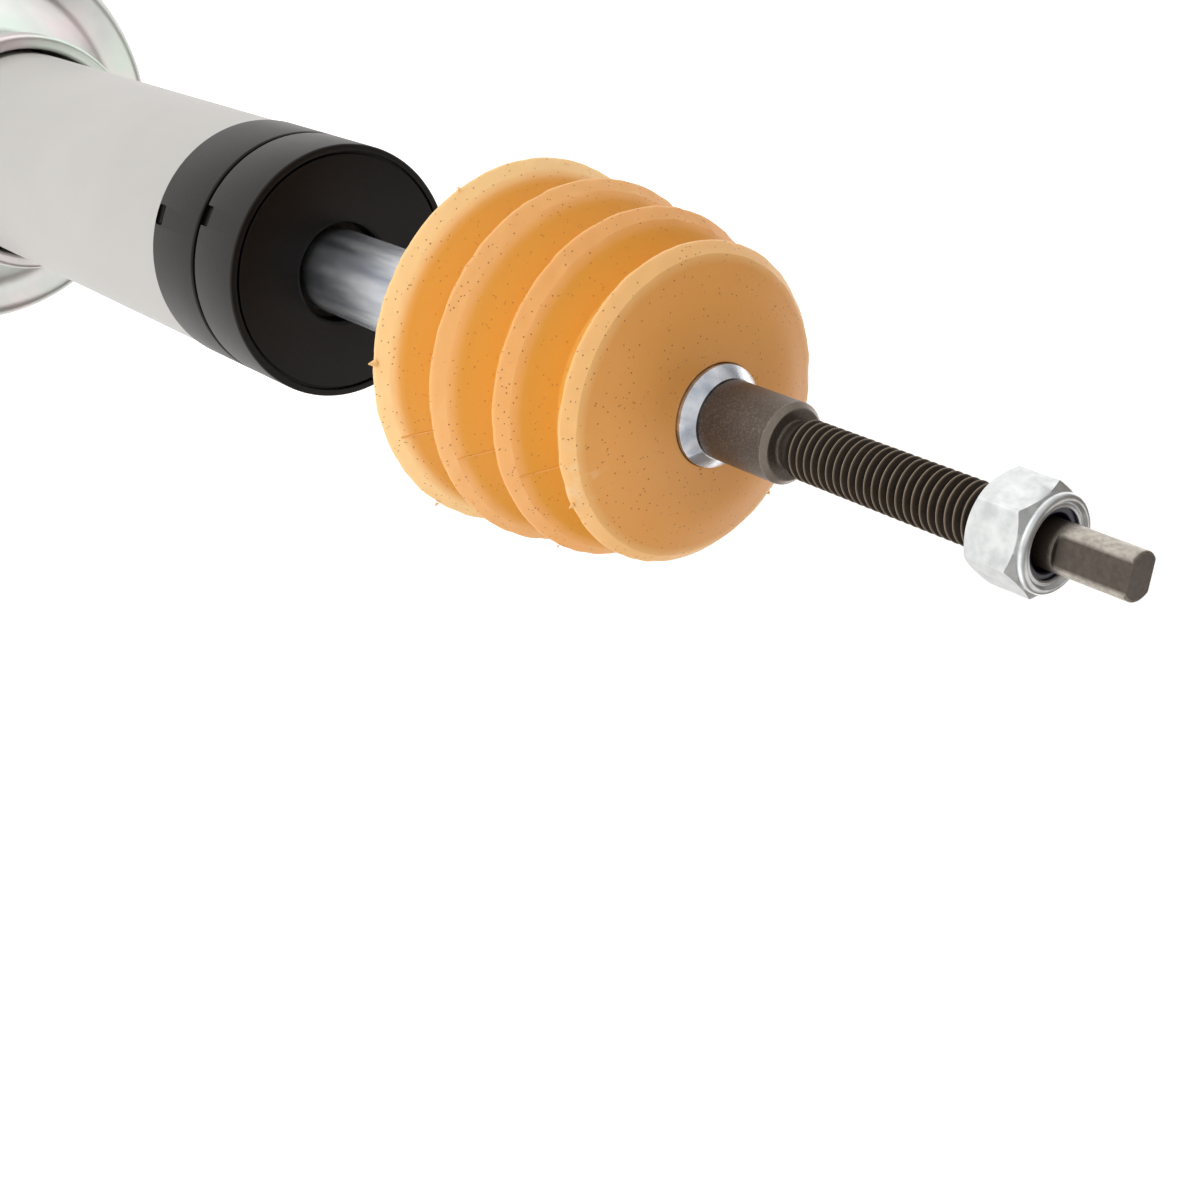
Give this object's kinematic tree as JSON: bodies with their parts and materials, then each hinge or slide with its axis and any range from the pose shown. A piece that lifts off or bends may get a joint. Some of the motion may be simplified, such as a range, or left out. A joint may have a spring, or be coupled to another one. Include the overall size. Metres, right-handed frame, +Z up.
{
  "type": "leveling strut",
  "caption": "Monotube leveling strut: tube with lower eye, height-set spring perch, black strike cap, chrome rod with stepped bump stop, threaded stem and lock nut.",
  "frame": {"origin": "centre of the lower eye's bolt bore, on the strut's axis", "axes": "+Z up the strut's axis towards the stem tip, +Y along the lower eye's bore, the strut at full extension"},
  "size_m": [0.136, 0.136, 0.64],
  "materials": {
    "tube_paint": "satin silver paint",
    "zinc_plate": "bright zinc plating",
    "black_plastic": "moulded, low sheen",
    "chrome_rod": "hard chrome, ground",
    "dark_phosphate": "phosphated steel, oiled",
    "urethane": "microcellular foam, fine pores",
    "nylon": "dark nylon",
    "rubber_black": "moulded rubber",
    "plain_steel": "turned steel",
    "machined_aluminium": "turned aluminium",
    "ptfe_band": "bronze-filled PTFE",
    "bumper_plastic": "moulded polyamide"
  },
  "bodies": {
    "barrel": {"tube": "tube_paint", "base_cap": "tube_paint", "lower_eye": "tube_paint", "eye_bushing": "rubber_black", "gas_plug": "plain_steel", "seat_clip": "dark_phosphate", "strike_cap": "black_plastic", "cap_ring": "black_plastic", "rod_guide": "machined_aluminium", "guide_o_ring": "rubber_black", "guide_bush": "plain_steel", "rod_seal": "rubber_black", "seal_washer": "plain_steel", "guide_snap_ring": "plain_steel", "wiper_seal": "rubber_black"},
    "sleeve": {"eye_sleeve": "zinc_plate"},
    "band": {"piston_band": "ptfe_band"},
    "rod": {"piston_rod": "chrome_rod", "lock_nut": "zinc_plate", "nut_insert": "nylon", "bump_stop": "urethane", "rebound_bumper": "bumper_plastic", "rebound_retainer": "dark_phosphate", "top_washer": "plain_steel", "compression_shims": "plain_steel", "piston": "plain_steel", "rebound_shims": "plain_steel", "bottom_washer": "plain_steel", "piston_nut": "dark_phosphate"},
    "divider": {"dividing_piston": "machined_aluminium", "dividing_o_ring": "rubber_black", "dividing_band": "ptfe_band"},
    "seat": {"spring_seat": "zinc_plate"}
  },
  "joints": [
    {"name": "rod_slide", "type": "slide", "parent": "barrel", "child": "band", "axis": [0, 0, 1], "range_m": [-0.117, 0], "stiffness_N_per_m": 600, "springref_m": 0.4, "deforming": ["bump_stop"]},
    {"name": "rod_turn", "type": "hinge", "parent": "band", "child": "rod", "pos_m": [0, 0, 0.3], "axis": [0, 0, 1], "continuous": true},
    {"name": "divider_slide", "type": "slide", "parent": "barrel", "child": "divider", "axis": [0, 0, 1], "range_m": [-0.017, 0]},
    {"name": "seat_slide", "type": "slide", "parent": "barrel", "child": "seat", "axis": [0, 0, 1], "range_m": [0, 0.15]},
    {"name": "sleeve_twist", "type": "hinge", "parent": "barrel", "child": "sleeve", "pos_m": [0, 0, 0], "axis": [0, 1, 0], "range_deg": [-12, 12], "stiffness_Nm_per_rad": 40}
  ],
  "couplings": [
    {"joint": "divider_slide", "follows": "rod_slide", "ratio": 0.14388}
  ]
}
